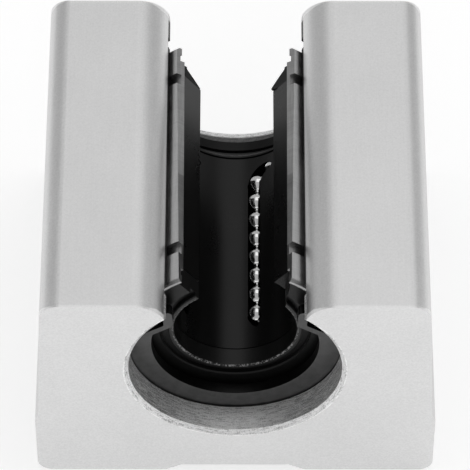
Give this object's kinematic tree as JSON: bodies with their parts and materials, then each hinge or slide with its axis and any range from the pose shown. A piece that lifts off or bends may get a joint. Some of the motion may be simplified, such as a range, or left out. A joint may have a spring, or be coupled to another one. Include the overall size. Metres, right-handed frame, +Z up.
{
  "type": "linear bearing block",
  "caption": "Open linear bearing block for a rail-supported round shaft: slotted aluminium housing round a recirculating ball bearing, with tapped holes in its mounting face",
  "frame": {"origin": "on the mounting face, midway along the block and straight below the shaft axis", "axes": "+Z up from the mounting face to the rail slot, +Y along the shaft, +X to the right seen from the front"},
  "size_m": [0.04, 0.039, 0.0276],
  "materials": {
    "aluminium_block": "fine matt blasted, machined bore",
    "bearing_steel": "ground",
    "ball_steel": "polished",
    "cage_plastic": "moulded, satin",
    "seal_rubber": "moulded",
    "spring_steel": "blackened",
    "screw_steel": "blackened"
  },
  "bodies": {
    "block": {"housing": "aluminium_block", "bearing_sleeve": "bearing_steel", "ball_retainer": "cage_plastic", "front_seal": "seal_rubber", "rear_seal": "seal_rubber", "front_retaining_ring": "spring_steel", "rear_retaining_ring": "spring_steel", "locking_screw": "screw_steel"},
    "lower_load_balls": {"lower_load_row": "ball_steel"},
    "lower_return_balls": {"lower_return_row": "ball_steel"},
    "lower_rear_turn_balls": {"lower_rear_turn": "ball_steel"},
    "lower_front_turn_balls": {"lower_front_turn": "ball_steel"},
    "left_load_balls": {"left_load_row": "ball_steel"},
    "left_return_balls": {"left_return_row": "ball_steel"},
    "left_rear_turn_balls": {"left_rear_turn": "ball_steel"},
    "left_front_turn_balls": {"left_front_turn": "ball_steel"},
    "upper_left_load_balls": {"upper_left_load_row": "ball_steel"},
    "upper_left_return_balls": {"upper_left_return_row": "ball_steel"},
    "upper_left_rear_turn_balls": {"upper_left_rear_turn": "ball_steel"},
    "upper_left_front_turn_balls": {"upper_left_front_turn": "ball_steel"},
    "right_load_balls": {"right_load_row": "ball_steel"},
    "right_return_balls": {"right_return_row": "ball_steel"},
    "right_rear_turn_balls": {"right_rear_turn": "ball_steel"},
    "right_front_turn_balls": {"right_front_turn": "ball_steel"}
  },
  "joints": [
    {"name": "lower_travel", "type": "slide", "parent": "block", "child": "lower_load_balls", "axis": [0, 1, 0], "range_m": [-0.00072, 0.00168]},
    {"name": "lower_return", "type": "slide", "parent": "block", "child": "lower_return_balls", "axis": [0, 1, 0], "range_m": [-0.00168, 0.00072]},
    {"name": "lower_rear_turning", "type": "hinge", "parent": "block", "child": "lower_rear_turn_balls", "pos_m": [0.00442, 0.00841, 0.01112], "axis": [0.4123, -0.0523, -0.9095], "range_deg": [-18.02, 42.02]},
    {"name": "lower_front_turning", "type": "hinge", "parent": "block", "child": "lower_front_turn_balls", "pos_m": [0.00442, -0.00841, 0.01112], "axis": [0.4039, 0.2079, -0.8909], "range_deg": [-18.02, 42.02]},
    {"name": "left_travel", "type": "slide", "parent": "block", "child": "left_load_balls", "axis": [0, 1, 0], "range_m": [-0.00072, 0.00168]},
    {"name": "left_return", "type": "slide", "parent": "block", "child": "left_return_balls", "axis": [0, 1, 0], "range_m": [-0.00168, 0.00072]},
    {"name": "left_rear_turning", "type": "hinge", "parent": "block", "child": "left_rear_turn_balls", "pos_m": [-0.00423, 0.00841, 0.01098], "axis": [-0.7376, -0.0523, -0.6732], "range_deg": [-18.02, 42.02]},
    {"name": "left_front_turning", "type": "hinge", "parent": "block", "child": "left_front_turn_balls", "pos_m": [-0.00423, -0.00841, 0.01098], "axis": [-0.7225, 0.2079, -0.6594], "range_deg": [-18.02, 42.02]},
    {"name": "upper_left_travel", "type": "slide", "parent": "block", "child": "upper_left_load_balls", "axis": [0, 1, 0], "range_m": [-0.00072, 0.00168]},
    {"name": "upper_left_return", "type": "slide", "parent": "block", "child": "upper_left_return_balls", "axis": [0, 1, 0], "range_m": [-0.00168, 0.00072]},
    {"name": "upper_left_rear_turning", "type": "hinge", "parent": "block", "child": "upper_left_rear_turn_balls", "pos_m": [-0.00704, 0.00841, 0.01916], "axis": [-0.8682, -0.0523, 0.4935], "range_deg": [-18.02, 42.02]},
    {"name": "upper_left_front_turning", "type": "hinge", "parent": "block", "child": "upper_left_front_turn_balls", "pos_m": [-0.00704, -0.00841, 0.01916], "axis": [-0.8504, 0.2079, 0.4834], "range_deg": [-18.02, 42.02]},
    {"name": "right_travel", "type": "slide", "parent": "block", "child": "right_load_balls", "axis": [0, 1, 0], "range_m": [-0.00072, 0.00168]},
    {"name": "right_return", "type": "slide", "parent": "block", "child": "right_return_balls", "axis": [0, 1, 0], "range_m": [-0.00168, 0.00072]},
    {"name": "right_rear_turning", "type": "hinge", "parent": "block", "child": "right_rear_turn_balls", "pos_m": [0.00696, 0.00841, 0.01939], "axis": [0.9924, -0.0523, 0.1111], "range_deg": [-18.02, 42.02]},
    {"name": "right_front_turning", "type": "hinge", "parent": "block", "child": "right_front_turn_balls", "pos_m": [0.00696, -0.00841, 0.01939], "axis": [0.9721, 0.2079, 0.1088], "range_deg": [-18.02, 42.02]}
  ],
  "couplings": [
    {"joint": "lower_return", "follows": "lower_travel", "ratio": -1},
    {"joint": "lower_rear_turning", "follows": "lower_travel", "rad_per_m": 435.79},
    {"joint": "lower_front_turning", "follows": "lower_travel", "rad_per_m": 435.79},
    {"joint": "left_return", "follows": "left_travel", "ratio": -1},
    {"joint": "left_rear_turning", "follows": "left_travel", "rad_per_m": 435.79},
    {"joint": "left_front_turning", "follows": "left_travel", "rad_per_m": 435.79},
    {"joint": "upper_left_return", "follows": "upper_left_travel", "ratio": -1},
    {"joint": "upper_left_rear_turning", "follows": "upper_left_travel", "rad_per_m": 435.79},
    {"joint": "upper_left_front_turning", "follows": "upper_left_travel", "rad_per_m": 435.79},
    {"joint": "right_return", "follows": "right_travel", "ratio": -1},
    {"joint": "right_rear_turning", "follows": "right_travel", "rad_per_m": 435.79},
    {"joint": "right_front_turning", "follows": "right_travel", "rad_per_m": 435.79}
  ]
}
